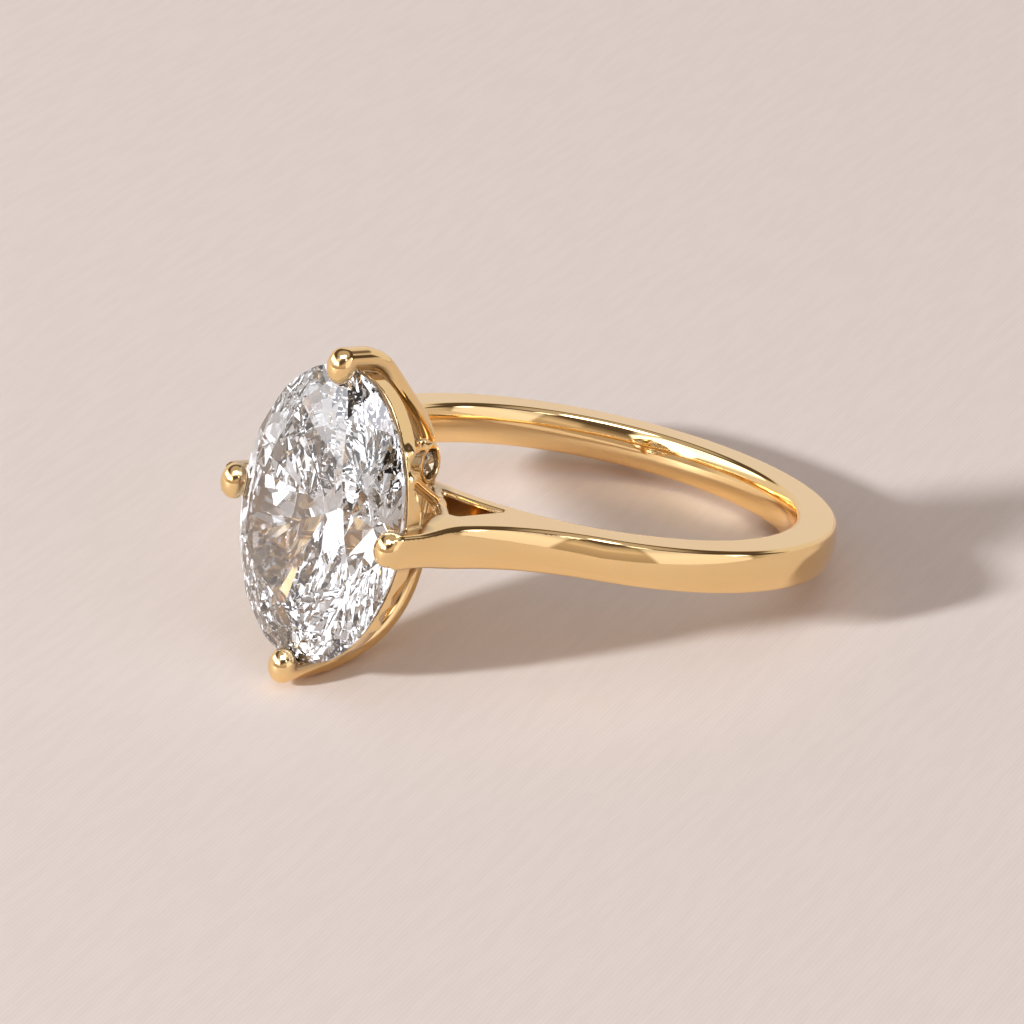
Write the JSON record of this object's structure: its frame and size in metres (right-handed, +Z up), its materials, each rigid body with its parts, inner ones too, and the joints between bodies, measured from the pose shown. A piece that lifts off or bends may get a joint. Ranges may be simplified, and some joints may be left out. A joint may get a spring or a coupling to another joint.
{
  "type": "three-stone engagement ring",
  "caption": "Polished yellow gold ring with an oval brilliant stone held by ball-ended prongs over an open gallery, and small round stones in collets at its foot.",
  "frame": {"origin": "centre of the finger hole, midway along its wall", "axes": "+Z up from the surface the ring lies on, -X from the finger hole towards the oval stone, Y across the ring's mirror plane"},
  "size_m": [0.0269, 0.02, 0.0131],
  "materials": {
    "gold": "mirror-polished yellow gold",
    "stone": "clear colourless brilliant-cut diamond"
  },
  "bodies": {
    "root": {"gold_ring": "gold", "oval_stone": "stone", "small_stone_upper": "stone", "small_stone_lower": "stone"}
  },
  "joints": []
}
